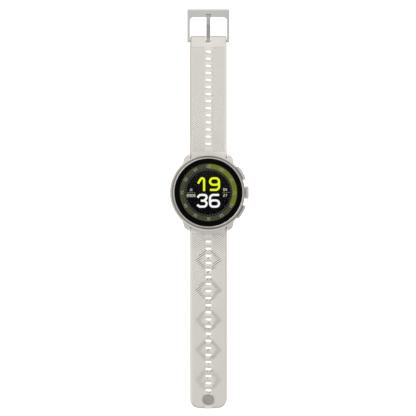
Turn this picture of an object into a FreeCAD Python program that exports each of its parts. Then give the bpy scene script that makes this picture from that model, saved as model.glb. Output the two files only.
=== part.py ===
import FreeCAD, Part
import math
import os

os.makedirs("parts", exist_ok=True)
V = FreeCAD.Vector
X_AXIS = V(1, 0, 0)
Y_AXIS = V(0, 1, 0)
Z_AXIS = V(0, 0, 1)

# Driving dimensions, in millimetres. Z points to the display, Y to 12 o'clock, X to the crown.
# Levels are heights above the outer face of the sensor window.
case_r = 22.5              # outer radius of the polymer case
case_bottom = 1.0
crown_r = 3.7
crown_z = crown_r + 0.9      # its axis; the case is as thick as the crown needs
top_level = crown_z + crown_r + 0.1   # seat of bezel and display frame
case_foot_r = case_r - 2.0         # outer radius of the case at its bottom edge
case_shoulder = top_level - 1.2   # where the curved flank meets the upright rim
foot_round = 0.5
flank_bulge = 0.35         # how far the flank's arc stands out from its chord
rim_round = 0.3
case_wall_top = top_level + 1.0   # top of the thin rim outside the bezel
flank_r = case_r - 1.1             # radius of the flattened flank behind crown and pushers
flank_half_angle = 43.0
flank_bottom = 2.8
rim_wall = 1.05            # radial width of the rim outside the bezel
cavity_r = case_r - 6.1            # lower cavity, for battery and mechanisms
board_bay_r = case_r - 4.9         # upper cavity, for the main board
board_level = top_level - 1.5
fit_gap = 0.10             # clearance between pieces that drop into each other
running_gap = 0.05         # radial clearance of turning and sliding shafts
side_gap = 0.15            # clearance beside moving flat faces
edge_bridge = 0.3          # overlap that joins a boss to its wall
boss_floor = 0.2           # solid left above a screw's bore
board_edge_gap = 0.3

bezel_height = 2.7
bezel_lip_r = case_r - 2.05        # outside of the flat lip round the glass
bezel_edge_height = 0.9    # upright part of the bezel's outer edge
bezel_hollow = 0.12        # how far its slope bows outwards
lip_round = 0.12
glass_r = case_r - 2.7
glass_thickness = 1.15
glass_bevel = 0.35
bond_gap = 0.12            # clear adhesive between panel and glass
gasket_thickness = 0.15
gasket_width = 0.8
glass_proud = 0.3          # how far the glass stands above the bezel
ledge_width = 1.2          # bezel ledge under the glass

frame_thickness = 0.8
frame_edge_gap = 0.2
flex_thickness = 0.2
flex_width = 6.0
flex_slot_gap = 0.3
flex_inset = 2.6           # display flex, in from the frame's edge
sensor_flex_gap = 0.6      # sensor flex, out from the battery's end
board_thickness = 0.6
antenna_width = 0.9
chip_height = 0.55
shield_height = 0.8
shield_sheet = 0.15
shield_box = (-5.5, 8.5, -4.5, 4.5)
chip_boxes = ((-11, -6.5, 5.5, 10), (-4.5, -1, 6, 9), (8, 11.5, -9.5, -5), (-10.5, -7.5, -9, -6.5),
              (2, 4.2, -11.5, -9.5))

cover_r = case_r - 4.9
cover_bottom = 0.8
cover_thickness = 1.6
cover_chamfer = 0.5
seal_width = 0.7
seal_height = 0.6
seal_inset = 0.3
screw_r = 0.7
screw_head_r = 1.2
screw_head_height = 0.6
screw_circle_r = case_r - 7.9
screw_angles = (60, 120, 240, 300)
screw_length = 3.6
screw_recess = 0.1
socket_r = 0.45
socket_depth = 0.35
boss_r = 1.5
boss_height = 3.0

window_r = 9.0
window_flat_r = 8.0
window_ledge = 0.8
window_thickness = 1.6
window_bevel_height = 0.7
window_seat_gap = 0.2
sensor_flange = 0.5        # baffle and sensor board, past the window's edge
baffle_flange = 0.6
sensor_board_thickness = 0.6
light_size = 1.0
light_height = 0.7
diode_size = 1.6
diode_circle_r = 5.0
diode_count = 4
contact_r = 0.75
contact_pitch = 2.2
contact_count = 4
contact_y = 9.6 - case_r
contact_proud = 0.05
contact_inner_reach = 0.3

battery_length = cavity_r + 6.1
battery_width = 20.0
battery_height = board_level - 3.9
battery_shift = -1.0       # towards 9 o'clock, away from the crown
battery_corner = 1.5
motor_r = 1.6
motor_length = 6.0
motor_y = 13.0
motor_start_x = -5.0
rotor_r = 1.3
rotor_length = 2.4
rotor_shaft_r = 0.3
rotor_bore_depth = 2.0
rotor_gap = 0.4            # between motor can and weight
pressure_r = 1.4
pressure_height = 1.4
pressure_place = (2.4 - cavity_r, 4.6)
vent_r = 0.85

crown_length = 2.3
crown_tip_x = case_r + 1.1
crown_flutes = 10
crown_flute_r = 0.6
crown_travel = 0.4
crown_pocket_gap = 0.3
crown_back_recess = 0.5
crown_back_rim = 0.8
crown_back_round = 0.3
crown_tip_round = 0.6
crown_flute_offset = 0.2   # flute centres, outside the crown's own radius
stem_key_share = 0.7       # thin front of the stem as a share of its radius
stem_key_length = 1.4
wheel_wall_gap = 0.5
stem_tail = 0.4
stem_r = 1.0
stem_groove = 0.2
stem_seal_length = 0.5
stem_seal_places = (case_r - 4.5, case_r - 3.1)
wheel_r = 1.9
wheel_length = 0.6
wheel_notches = 16
wheel_notch_r = 0.16
thrust_floor_gap = 0.3
thrust_size = 3.4
thrust_thickness = 0.3
dome_height = 0.6
dome_r = 1.4
dome_sheet = 0.12
switch_depth = 1.5
switch_width = 3.0
switch_height = 2.4

pusher_angle = 30.4
pusher_half_span = 11.0
pusher_end_round = 0.9     # corners of a pusher's cap seen from above
pusher_pocket_spread = 0.8 # degrees of clearance at each end of a cap
pusher_outer_r = case_r + 0.9
pusher_inner_r = case_r - 0.75
pusher_bottom = 3.4
pusher_height = top_level - 3.8
pusher_edge = 0.45
pusher_travel = 0.5
pusher_z = pusher_bottom + pusher_height / 2
pusher_stem_r = 0.8
pusher_spring_r = 1.3      # outer folds of the bellows spring
pusher_spring_inner_r = 0.95
pusher_spring_seat_r = case_r - 3.9
pusher_spring_wall = 0.12  # measured along the radius
pusher_spring_folds = 4
pusher_spring_end_gap = 0.02
clip_r = 1.1
clip_thickness = 0.3
clip_slot = 0.8
clip_reach = 0.6           # clip, in from the cavity wall
pusher_seal_reach = 1.0    # seal, out from the cavity wall
pusher_tip_reach = 1.4     # stem tip, in from the cavity wall
pusher_stem_root = 0.8     # how deep the stem runs into its cap
switch_gap = 0.1

strap_width = 21.6
strap_thickness = 2.4
lug_gap = 0.2              # each side of the strap between the lugs
bar_y = case_r - 2.1
bar_z = 3.6
strap_eye_r = 1.8
recess_top = 5.9
lug_outer_x = strap_width / 2 + 3.95
lug_tip_y = bar_y + 2.2
lug_shoulder = (strap_width / 2 + 3.2, bar_y + 0.4)
lug_top = top_level - 0.4
lug_tip_top = 5.6
lug_round = 1.4
lug_root_y = bar_y - 8.4
lug_side_y = bar_y - 2.6          # where the outer side turns in to the tip
lug_root_flare = 0.9
lug_crest_y = bar_y - 3.4
lug_belly_y = bar_y + 0.1
lug_belly_rise = 1.2
lug_tip_fall = 0.6
bar_hole_floor = 0.2
bar_r = 0.8
bar_half_length = strap_width / 2 - 0.6
bar_tip_r = 0.45
bar_tip_reach = 0.9        # how far a tip stands into its lug
bar_bore_r = 0.52
bar_bore_start = strap_width / 2 - 6.0
release_start = strap_width / 2 - 2.8
release_x = strap_width / 2 - 2.1
release_knob_r = 0.5
release_knob_reach = 2.1
release_travel = 1.3
release_slot_gap = 0.3
bar_coil_r = 0.38
bar_coil_wire_r = 0.09
bar_coil_turns = 8

hole_first = bar_y + 8.15
hole_pitch = 4.13
hole_length = 3.2
hole_width = 1.1
lead_in_depth = 1.0
lead_in_side = 0.5
lead_in_back = 0.7
short_holes = 14
long_holes = 22
first_cut_holes = 2        # holes before the first bend line
cut_holes = 4              # holes between bend lines
bend_gap = 0.3
short_end = hole_first + hole_pitch * (short_holes - 1) + 9.26
short_end_width = strap_width - 0.4
short_end_corner = 1.2
long_end = hole_first + hole_pitch * (long_holes - 1) + 10.82
tail_corner_r = 5.3
tail_crown = 0.5
tail_lift = 2.3            # height of the underside at the stud

pin_y = short_end - 3.1
pin_z = 1.2
pin_r = 0.55
strap_slot_width = 2.85
strap_slot_end = pin_y - 1.25
strap_slot_round = 0.3
buckle_half_width = strap_width / 2 + 1.55
buckle_arm_width = 1.6
buckle_top_y = pin_y + 18.6
buckle_bar_y = pin_y + 13.8
buckle_thickness = 2.2
buckle_bottom = 0.1
buckle_inner_round = 2.2
buckle_chamfer = 0.9
arm_end_r = 1.1
notch_depth = 1.9
notch_width = 2.9
notch_floor = 1.5
buckle_corner = 0.5
pin_cover = 0.3            # buckle side left over the pin's ends
tongue_width = 2.5
tongue_ring_r = 1.05
tongue_thickness = 0.75
tongue_reach = 15.5

stud_y = long_end - 5.3
stud_disc_r = 3.15
stud_disc_height = 0.7
stud_dish_r = 2.35
stud_dish_depth = 0.25
stud_under_bevel = 0.2
stud_rim_bevel = 0.25
stud_head_gap = 0.5        # between strap and stud head
stud_joint = 0.2           # overlap of post and head
stud_post_top = 0.1
stud_post_r = 0.8
stud_head_length = 3.4
stud_head_width = 1.8
stud_head_height = 1.6


def cylinder(radius, bottom, top, x=0.0, y=0.0):
    return Part.makeCylinder(radius, top - bottom, V(x, y, bottom))


def ring(inner, outer, bottom, top):
    return cylinder(outer, bottom, top).cut(cylinder(inner, bottom, top))


def block(x0, x1, y0, y1, z0, z1):
    return Part.makeBox(x1 - x0, y1 - y0, z1 - z0, V(x0, y0, z0))


def rod_x(radius, x0, x1, y, z):
    return Part.makeCylinder(radius, x1 - x0, V(x0, y, z), X_AXIS)


def turned(profile, axis=Z_AXIS, centre=V(0, 0, 0)):
    """Solid of revolution about an axis through centre, from a closed outline of (radius, height)
    points. A point with a third item is the middle of an arc between its neighbours."""
    loop = list(profile) + [profile[0]]
    edges = []
    k = 0
    while k < len(loop) - 1:
        here = V(loop[k][0], 0, loop[k][1])
        if len(loop[k + 1]) == 3:
            middle = V(loop[k + 1][0], 0, loop[k + 1][1])
            there = V(loop[k + 2][0], 0, loop[k + 2][1])
            edges.append(Part.Arc(here, middle, there).toShape())
            k += 2
        else:
            edges.append(Part.makeLine(here, V(loop[k + 1][0], 0, loop[k + 1][1])))
            k += 1
    solid = Part.Face(Part.Wire(edges)).revolve(V(0, 0, 0), Z_AXIS, 360)
    solid.Placement = FreeCAD.Placement(centre, FreeCAD.Rotation(Z_AXIS, axis))
    return solid


def plan_prism(points, bottom, top):
    vectors = [V(x, y, bottom) for x, y in points]
    return Part.Face(Part.makePolygon(vectors + vectors[:1])).extrude(V(0, 0, top - bottom))


def slot_prism(length, width, x, y, bottom, top):
    """Slot with round ends, long along X."""
    reach = (length - width) / 2
    body = block(x - reach, x + reach, y - width / 2, y + width / 2, bottom, top)
    for side in (-1, 1):
        body = body.fuse(cylinder(width / 2, bottom, top, x + side * reach, y))
    return body


def turn_z(shape, angle):
    turned_copy = shape.copy()
    turned_copy.rotate(V(0, 0, 0), Z_AXIS, angle)
    return turned_copy


def coil(coil_r, wire_r, length, turns):
    """Helical spring along +Z from the origin."""
    pitch = (length - 2 * wire_r) / turns
    path = Part.makeHelix(pitch, pitch * turns, coil_r)
    path.translate(V(0, 0, wire_r))
    section = Part.Wire(Part.makeCircle(wire_r, V(coil_r, 0, wire_r), Y_AXIS))
    return Part.Wire(path).makePipeShell([section], True, True)


def bellows(inner_r, outer_r, wall, length, folds, axis, centre):
    """Spring of coned folds joined at their rims, one thin wall turned about an axis."""
    step = length / (2 * folds)
    near = [(inner_r if k % 2 else outer_r - wall, k * step) for k in range(2 * folds + 1)]
    far = [(radius + wall, height) for radius, height in reversed(near)]
    return turned(near + far, axis, centre)


def save(name, *shapes):
    shape = shapes[0] if len(shapes) == 1 else Part.makeCompound(list(shapes))
    shape.exportStep("parts/" + name + ".step")


# Levels worked out from the stack
cover_top = cover_bottom + cover_thickness
glass_bottom = top_level + bezel_height - glass_thickness + glass_proud
gasket_bottom = glass_bottom - gasket_thickness
glass_top = glass_bottom + glass_thickness
bezel_top = top_level + bezel_height
bezel_r = flank_r
ledge_r = glass_r - ledge_width
frame_r = ledge_r - frame_edge_gap
frame_top = top_level + frame_thickness
recess_y = bar_y - strap_eye_r - lug_gap
inner_lug_x = strap_width / 2 + lug_gap
board_r = board_bay_r - board_edge_gap
board_top = board_level + board_thickness
sensor_board_bottom = cover_top + baffle_flange
sensor_board_top = sensor_board_bottom + sensor_board_thickness
battery_bottom = sensor_board_top + 2 * fit_gap
bend_lines = [hole_first + hole_pitch * (first_cut_holes - 0.5 + cut_holes * k) for k in range(5)]


# Case
def pusher_sector(inner, outer, half_span, bottom, top):
    """Arc-shaped block centred on the +X direction."""
    reach = outer * 1.5
    spread = math.tan(math.radians(half_span)) * reach
    wedge = plan_prism([(0, 0), (reach, -spread), (reach, spread)], bottom, top)
    return ring(inner, outer, bottom, top).common(wedge)


def lug(side_x, side_y):
    outline = [(inner_lug_x, lug_root_y), (inner_lug_x, lug_tip_y), lug_shoulder,
               (lug_outer_x, lug_side_y), (lug_outer_x + lug_root_flare, lug_root_y)]
    solid = plan_prism(outline, case_bottom, lug_top)
    slope = [V(0, lug_root_y, case_bottom), V(0, lug_belly_y, case_bottom),
             V(0, lug_tip_y + 1, case_bottom + lug_belly_rise),
             V(0, lug_tip_y + 1, lug_tip_top - lug_tip_fall), V(0, lug_tip_y - lug_tip_fall, lug_tip_top),
             V(0, lug_crest_y, lug_top), V(0, lug_root_y, lug_top)]
    side = Part.Face(Part.makePolygon(slope + slope[:1])).extrude(V(30, 0, 0))
    solid = solid.common(side)
    corners = [edge for edge in solid.Edges if is_outer_corner(edge)]
    solid = solid.makeFillet(lug_round, corners)
    matrix = FreeCAD.Matrix()
    matrix.scale(side_x, side_y, 1)
    return solid.transformGeometry(matrix) if side_x * side_y < 0 else spin_half(solid, side_x)


def spin_half(solid, side_x):
    return solid if side_x > 0 else turn_z(solid, 180)


def is_outer_corner(edge):
    a = edge.Vertexes[0].Point
    b = edge.Vertexes[-1].Point
    upright = abs(a.x - b.x) < 1e-6 and abs(a.y - b.y) < 1e-6
    at_corner = abs(a.x - lug_shoulder[0]) < 1e-6 or abs(a.x - lug_outer_x) < 1e-6
    return upright and at_corner


def make_case():
    foot = (case_foot_r, case_bottom + foot_round)
    shoulder = (case_r, case_shoulder)
    bulge = ((foot[0] + shoulder[0]) / 2 + flank_bulge, (foot[1] + shoulder[1]) / 2 - flank_bulge, "arc")
    round_45 = rim_round * (1 - math.sqrt(0.5))
    profile = [(cover_r + fit_gap, case_bottom), (case_foot_r - foot_round, case_bottom), foot, bulge,
               shoulder, (case_r, case_wall_top - rim_round),
               (case_r - round_45, case_wall_top - round_45, "arc"),
               (case_r - rim_round, case_wall_top),
               (case_r - rim_wall, case_wall_top), (case_r - rim_wall, top_level),
               (board_bay_r, top_level), (board_bay_r, board_level), (cavity_r, board_level),
               (cavity_r, cover_top), (cover_r + fit_gap, cover_top)]
    body = turned(profile)
    for side_x in (-1, 1):
        for side_y in (-1, 1):
            extra = lug(side_x, side_y).cut(cylinder(case_foot_r - 0.5, 0, 12))
            body = body.fuse(extra)
    for angle in screw_angles:
        x = screw_circle_r * math.cos(math.radians(angle))
        y = screw_circle_r * math.sin(math.radians(angle))
        boss = cylinder(boss_r, cover_top, cover_top + boss_height, x, y)
        bridge = turn_z(block(screw_circle_r, cavity_r + edge_bridge, -boss_r, boss_r, cover_top,
                              cover_top + boss_height), angle)
        body = body.fuse(boss).fuse(bridge.common(cylinder(cavity_r + edge_bridge, 0, 12)))
        body = body.cut(cylinder(screw_r, cover_top - 1, cover_top + boss_height - boss_floor, x, y))
    body = body.cut(ring(cover_r - seal_inset - seal_width, cover_r - seal_inset,
                         cover_top, cover_top + seal_height))
    for side in (-1, 1):
        low, high = sorted((side * recess_y, side * 30))
        body = body.cut(block(-inner_lug_x, inner_lug_x, low, high, 0, recess_top))
        tips = inner_lug_x + bar_tip_reach + bar_hole_floor
        body = body.cut(rod_x(bar_tip_r + running_gap, -tips, tips, side * bar_y, bar_z))
    body = body.cut(pusher_sector(flank_r, case_r + 1, flank_half_angle, flank_bottom, 12))
    body = cut_crown_and_pushers(body)
    body = body.cut(rod_x(vent_r + fit_gap / 2, -case_r - 1, -cavity_r + 1, 0, crown_z))
    return body.removeSplitter()


def cut_crown_and_pushers(body):
    pocket_x = crown_tip_x - crown_length - crown_travel - crown_pocket_gap
    body = body.cut(rod_x(crown_r + crown_pocket_gap, pocket_x, case_r + 3, 0, crown_z))
    body = body.cut(rod_x(stem_r + running_gap, cavity_r - 1, case_r, 0, crown_z))
    for side in (-1, 1):
        pocket = pusher_sector(pusher_inner_r - pusher_travel - side_gap, case_r + 1,
                               pusher_half_span + pusher_pocket_spread, pusher_bottom - crown_pocket_gap,
                               top_level)
        hole = rod_x(pusher_stem_r + running_gap, cavity_r - 1, case_r, 0, pusher_z)
        seat = rod_x(pusher_spring_r + fit_gap, pusher_spring_seat_r, case_r, 0, pusher_z)
        for tool in (pocket, hole, seat):
            body = body.cut(turn_z(tool, side * pusher_angle))
    return body


def make_front():
    slope_middle = ((bezel_r + bezel_lip_r) / 2 + bezel_hollow,
                    (top_level + bezel_edge_height + bezel_top) / 2 + bezel_hollow / 2, "arc")
    bezel = turned([(ledge_r, top_level), (bezel_r, top_level), (bezel_r, top_level + bezel_edge_height),
                    slope_middle, (bezel_lip_r, bezel_top - lip_round), (bezel_lip_r - lip_round, bezel_top),
                    (glass_r + fit_gap, bezel_top), (glass_r + fit_gap, gasket_bottom),
                    (ledge_r, gasket_bottom)])
    glass = turned([(0, glass_bottom), (glass_r, glass_bottom), (glass_r, glass_top - glass_bevel),
                    (glass_r - glass_bevel, glass_top), (0, glass_top)])
    save("bezel", bezel)
    save("cover_glass", glass)
    save("glass_gasket", ring(glass_r - gasket_width, glass_r, gasket_bottom, glass_bottom))
    save("display_panel", cylinder(frame_r - fit_gap, frame_top, glass_bottom - bond_gap))
    slot_y = -(frame_r - flex_inset)
    slot = block(-flex_width / 2 - flex_slot_gap, flex_width / 2 + flex_slot_gap,
                 slot_y - flex_thickness / 2 - flex_slot_gap, slot_y + flex_thickness / 2 + flex_slot_gap,
                 top_level - 1, frame_top + 1)
    save("display_frame", cylinder(frame_r, top_level, frame_top).cut(slot))
    display_flex = block(-flex_width / 2, flex_width / 2, slot_y - flex_thickness / 2,
                         slot_y + flex_thickness / 2, board_top, frame_top)
    flex_x = battery_shift - battery_length / 2 - sensor_flex_gap
    sensor_flex = block(flex_x, flex_x + flex_thickness, -flex_width / 2, flex_width / 2,
                        sensor_board_top, board_level)
    flat_run = block(flex_x, -window_r + 1, -flex_width / 2, flex_width / 2,
                     sensor_board_top, sensor_board_top + fit_gap)
    save("flex_cables", display_flex, sensor_flex.fuse(flat_run))


def make_electronics():
    board = cylinder(board_r, board_level, board_top)
    save("main_board", board)
    antenna = ring(board_r - antenna_width, board_r, board_top, top_level)
    save("antenna_ring", antenna)
    chips = [block(*sides, board_top, board_top + chip_height) for sides in chip_boxes]
    save("board_chips", *chips)
    left, right, low, high = shield_box
    can = block(left, right, low, high, board_top, board_top + shield_height)
    inside = block(left + shield_sheet, right - shield_sheet, low + shield_sheet, high - shield_sheet,
                   board_top, board_top + shield_height - shield_sheet)
    save("shield_can", can.cut(inside))
    x0 = battery_shift - battery_length / 2
    x1 = battery_shift + battery_length / 2
    cell = block(x0, x1, -battery_width / 2, battery_width / 2, battery_bottom,
                 battery_bottom + battery_height)
    upright = [e for e in cell.Edges if abs(e.Vertexes[0].Z - e.Vertexes[-1].Z) > 1]
    save("battery", cell.makeFillet(battery_corner, upright))
    save("pressure_sensor", cylinder(pressure_r, crown_z, crown_z + pressure_height, *pressure_place))
    save("pressure_vent", rod_x(vent_r, -case_foot_r, -cavity_r - 0.1, 0, crown_z))


def make_motor():
    z = board_level - motor_r - fit_gap
    can_end = motor_start_x + motor_length
    can = rod_x(motor_r, motor_start_x, can_end, motor_y, z)
    bore = rod_x(rotor_shaft_r + running_gap, can_end - rotor_bore_depth, can_end, motor_y, z)
    save("motor_can", can.cut(bore))
    weight_x = can_end + rotor_gap
    weight = rod_x(rotor_r, weight_x, weight_x + rotor_length, motor_y, z)
    half = block(weight_x - 1, weight_x + rotor_length + 1, motor_y - 3, motor_y + 3, z - 3,
                 z + rotor_shaft_r)
    shaft = rod_x(rotor_shaft_r, can_end - rotor_bore_depth + fit_gap, weight_x + rotor_length, motor_y, z)
    save("motor_rotor", weight.common(half).fuse(shaft))


def make_back():
    opening_r = window_r - window_ledge - window_seat_gap
    cover = turned([(opening_r, cover_top), (cover_r, cover_top), (cover_r, cover_bottom + cover_chamfer),
                    (cover_r - cover_chamfer, cover_bottom), (window_r + fit_gap, cover_bottom),
                    (window_r + fit_gap, window_thickness), (opening_r, window_thickness)])
    screws = []
    for angle in screw_angles:
        x = screw_circle_r * math.cos(math.radians(angle))
        y = screw_circle_r * math.sin(math.radians(angle))
        head_bottom = cover_bottom + screw_recess
        head_top = head_bottom + screw_head_height
        cover = cover.cut(cylinder(screw_head_r + fit_gap, cover_bottom - 1, head_top, x, y))
        cover = cover.cut(cylinder(screw_r + fit_gap, 0, cover_top + 1, x, y))
        screw = cylinder(screw_head_r, head_bottom, head_top, x, y)
        screw = screw.fuse(cylinder(screw_r, head_bottom, head_bottom + screw_length, x, y))
        socket = Part.makeCylinder(socket_r, socket_depth, V(x, y, head_bottom))
        screws.append(screw.cut(socket).removeSplitter())
    contacts = []
    for k in range(contact_count):
        x = (k - (contact_count - 1) / 2) * contact_pitch
        cover = cover.cut(cylinder(contact_r, 0, cover_top + 1, x, contact_y))
        contacts.append(cylinder(contact_r, cover_bottom - contact_proud, cover_top + contact_inner_reach,
                                 x, contact_y))
    save("back_cover", cover)
    save("back_screws", *screws)
    save("charge_contacts", *contacts)
    save("back_seal", ring(cover_r - seal_inset - seal_width, cover_r - seal_inset,
                           cover_top, cover_top + seal_height))
    window = turned([(0, 0), (window_flat_r, 0), (window_r, window_bevel_height),
                     (window_r, window_thickness), (0, window_thickness)])
    save("sensor_window", window)


def make_sensor():
    opening_r = window_r - window_ledge - window_seat_gap
    baffle = cylinder(window_r + sensor_flange, cover_top, sensor_board_bottom)
    baffle = baffle.fuse(cylinder(opening_r - fit_gap, window_thickness, cover_top))
    baffle = baffle.cut(cylinder(light_size * 1.6, 0, 10))
    lights = []
    for side_x in (-1, 1):
        for side_y in (-1, 1):
            x = side_x * light_size * 0.6
            y = side_y * light_size * 0.6
            half = light_size / 2
            lights.append(block(x - half, x + half, y - half, y + half,
                                sensor_board_bottom - light_height, sensor_board_bottom))
    diodes = []
    for k in range(diode_count):
        angle = 360 / diode_count * k
        baffle = baffle.cut(turn_z(cylinder(diode_size * 0.8, 0, 10, diode_circle_r), angle))
        half = diode_size / 2
        diode = block(diode_circle_r - half, diode_circle_r + half, -half, half,
                      sensor_board_bottom - light_height, sensor_board_bottom)
        diodes.append(turn_z(diode, angle))
    save("sensor_baffle", baffle.removeSplitter())
    save("sensor_board", cylinder(window_r + sensor_flange, sensor_board_bottom, sensor_board_top))
    save("sensor_leds", *lights)
    save("sensor_photodiodes", *diodes)


# Crown and pushers
def make_crown():
    back_x = crown_tip_x - crown_length
    inner_rim = crown_r - crown_back_rim
    knob = turned([(0, crown_back_recess), (inner_rim, crown_back_recess), (inner_rim, 0),
                   (crown_r - crown_back_round, 0), (crown_r, crown_back_round),
                   (crown_r, crown_length - crown_tip_round), (crown_r - crown_tip_round, crown_length),
                   (0, crown_length)],
                  X_AXIS, V(back_x, 0, crown_z))
    for k in range(crown_flutes):
        angle = math.radians(360 / crown_flutes * (k + 0.5))
        y = (crown_r + crown_flute_offset) * math.cos(angle)
        z = crown_z + (crown_r + crown_flute_offset) * math.sin(angle)
        knob = knob.cut(rod_x(crown_flute_r, back_x - 1, crown_tip_x + 1, y, z))
    knob = knob.cut(rod_x(stem_r * stem_key_share, back_x, back_x + stem_key_length, 0, crown_z))
    save("crown_knob", knob)
    wheel_x = cavity_r - wheel_wall_gap - wheel_length
    stem_end = wheel_x - stem_tail
    stem = rod_x(stem_r, stem_end, back_x + crown_back_recess, 0, crown_z)
    stem = stem.fuse(rod_x(stem_r * stem_key_share, back_x, back_x + stem_key_length, 0, crown_z))
    seals = []
    for x in stem_seal_places:
        groove = rod_x(stem_r + 1, x, x + stem_seal_length, 0, crown_z)
        core = rod_x(stem_r - stem_groove, x, x + stem_seal_length, 0, crown_z)
        stem = stem.cut(groove.cut(core))
        outer = rod_x(stem_r + running_gap * 0.5, x, x + stem_seal_length, 0, crown_z)
        seals.append(outer.cut(core))
    wheel = rod_x(wheel_r, wheel_x, wheel_x + wheel_length, 0, crown_z)
    for k in range(wheel_notches):
        angle = math.radians(360 / wheel_notches * k)
        y = wheel_r * math.cos(angle)
        z = crown_z + wheel_r * math.sin(angle)
        wheel = wheel.cut(rod_x(wheel_notch_r, wheel_x - 1, wheel_x + wheel_length + 1, y, z))
    save("crown_stem", stem.removeSplitter())
    save("crown_seals", *seals)
    save("encoder_wheel", wheel.cut(rod_x(stem_r, 0, 30, 0, crown_z)))
    plate_x = stem_end - thrust_thickness
    half = thrust_size / 2
    save("crown_thrust_plate", block(plate_x, stem_end, -half, half, crown_z - half + thrust_floor_gap,
                                     crown_z + half))
    dome_x = plate_x - dome_height
    shell = turned([(0, dome_height), (dome_r * 0.35, dome_height), (dome_r, dome_sheet), (dome_r, 0),
                    (dome_r * 0.9, 0), (dome_r * 0.3, dome_height - dome_sheet),
                    (0, dome_height - dome_sheet)], X_AXIS, V(dome_x, 0, crown_z))
    save("crown_spring", shell)
    return dome_x


def switch_block(face_x, z):
    body = block(face_x - switch_depth, face_x, -switch_width / 2, switch_width / 2,
                 z - switch_height / 2, z + switch_height / 2)
    return body


def is_upright_at(edge, radius):
    ends = [vertex.Point for vertex in edge.Vertexes]
    same_place = math.hypot(ends[0].x - ends[-1].x, ends[0].y - ends[-1].y) < 1e-6
    return same_place and abs(math.hypot(ends[0].x, ends[0].y) - radius) < 1e-6


def is_level_at(edge, radius):
    """Top or bottom edge that lies on the outer face of a pusher's cap."""
    ends = [vertex.Point for vertex in edge.Vertexes]
    level = abs(ends[0].z - ends[-1].z) < 1e-6
    return level and all(abs(math.hypot(end.x, end.y) - radius) < 1e-6 for end in ends)


def make_pushers(crown_switch_face):
    switches = [switch_block(crown_switch_face, crown_z)]
    stem_tip = cavity_r - pusher_tip_reach
    clip_x = cavity_r - clip_reach
    for name, side in (("upper", 1), ("lower", -1)):
        angle = side * pusher_angle
        cap = pusher_sector(pusher_inner_r, pusher_outer_r, pusher_half_span, pusher_bottom,
                            pusher_bottom + pusher_height)
        corners = [e for e in cap.Edges if is_upright_at(e, pusher_outer_r)]
        cap = cap.makeFillet(pusher_end_round, corners)
        rims = [e for e in cap.Edges if is_level_at(e, pusher_outer_r)]
        cap = cap.makeChamfer(pusher_edge, rims)
        stem = rod_x(pusher_stem_r, stem_tip, pusher_inner_r + pusher_stem_root, 0, pusher_z)
        seal_x = cavity_r + pusher_seal_reach
        core = rod_x(pusher_stem_r - stem_groove, seal_x, seal_x + stem_seal_length, 0, pusher_z)
        stem = stem.cut(rod_x(pusher_stem_r + 1, seal_x, seal_x + stem_seal_length, 0, pusher_z).cut(core))
        clip_core = rod_x(pusher_stem_r - stem_groove, clip_x, clip_x + clip_thickness, 0, pusher_z)
        stem = stem.cut(rod_x(2, clip_x, clip_x + clip_thickness, 0, pusher_z).cut(clip_core))
        seal = rod_x(pusher_stem_r + running_gap * 0.5, seal_x, seal_x + stem_seal_length, 0, pusher_z)
        clip = rod_x(clip_r, clip_x, clip_x + clip_thickness, 0, pusher_z).cut(clip_core)
        clip = clip.cut(block(clip_x - 1, clip_x + 1, -clip_slot / 2, clip_slot / 2, pusher_z, pusher_z + 3))
        spring_length = pusher_inner_r - pusher_spring_seat_r - fit_gap
        spring = bellows(pusher_spring_inner_r, pusher_spring_r, pusher_spring_wall, spring_length,
                         pusher_spring_folds, X_AXIS,
                         V(pusher_spring_seat_r + pusher_spring_end_gap, 0, pusher_z))
        save(name + "_button", turn_z(cap.fuse(stem).removeSplitter(), angle))
        save(name + "_button_seal", turn_z(seal.cut(core), angle))
        save(name + "_button_clip", turn_z(clip, angle))
        save(name + "_button_spring", turn_z(spring, angle))
        switch_z = board_level - switch_height / 2
        switches.append(turn_z(switch_block(stem_tip - pusher_travel - switch_gap, switch_z), angle))
    save("key_switches", *switches)


# Straps. Both are drawn towards +Y and the long one is turned half a turn about Z.
def ease(value):
    value = min(1.0, max(0.0, value))
    return value * value * (3 - 2 * value)


def underside(y, tail_start):
    root = (bar_z - strap_eye_r) * (1 - ease((y - bar_y) / (bend_lines[0] - bar_y)))
    if tail_start is None:
        return root
    return root + tail_lift * max(0.0, (y - tail_start) / (stud_y - tail_start))


def upper_side(y, tail_start):
    eye_top = bar_z + strap_eye_r
    extra = (eye_top - strap_thickness) * (1 - ease((y - bar_y) / (bend_lines[0] - bar_y)))
    if tail_start is None:
        return strap_thickness + extra
    return strap_thickness + extra + tail_lift * max(0.0, (y - tail_start) / (stud_y - tail_start))


def strap_length(y0, y1, width, tail_start=None):
    """Side profile between y0 and y1, swept across the width."""
    curved = y0 < bend_lines[0]
    steps = 8 if curved else 1
    stations = [y0 + (y1 - y0) * k / steps for k in range(steps + 1)]
    lower = [V(-width / 2, y, underside(y, tail_start)) for y in stations]
    upper = [V(-width / 2, y, upper_side(y, tail_start)) for y in reversed(stations)]
    if curved:
        low_curve = Part.BSplineCurve()
        low_curve.interpolate(lower)
        high_curve = Part.BSplineCurve()
        high_curve.interpolate(upper)
        edges = [low_curve.toShape(), Part.makeLine(lower[-1], upper[0]), high_curve.toShape(),
                 Part.makeLine(upper[-1], lower[0])]
        outline = Part.Wire(edges)
    else:
        outline = Part.makePolygon(lower + upper + lower[:1])
    return Part.Face(outline).extrude(V(width, 0, 0))


def cut_holes_in(strap, y0, y1, count, tail_start):
    for k in range(count):
        y = hole_first + hole_pitch * k
        if y0 < y < y1:
            top = upper_side(y, tail_start)
            strap = strap.cut(slot_prism(hole_length, hole_width, 0, y, -1, top + 1))
            strap = strap.cut(slot_prism(hole_length, hole_width, lead_in_side, y - lead_in_back,
                                         top - lead_in_depth, top + 1))
    return strap


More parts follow.
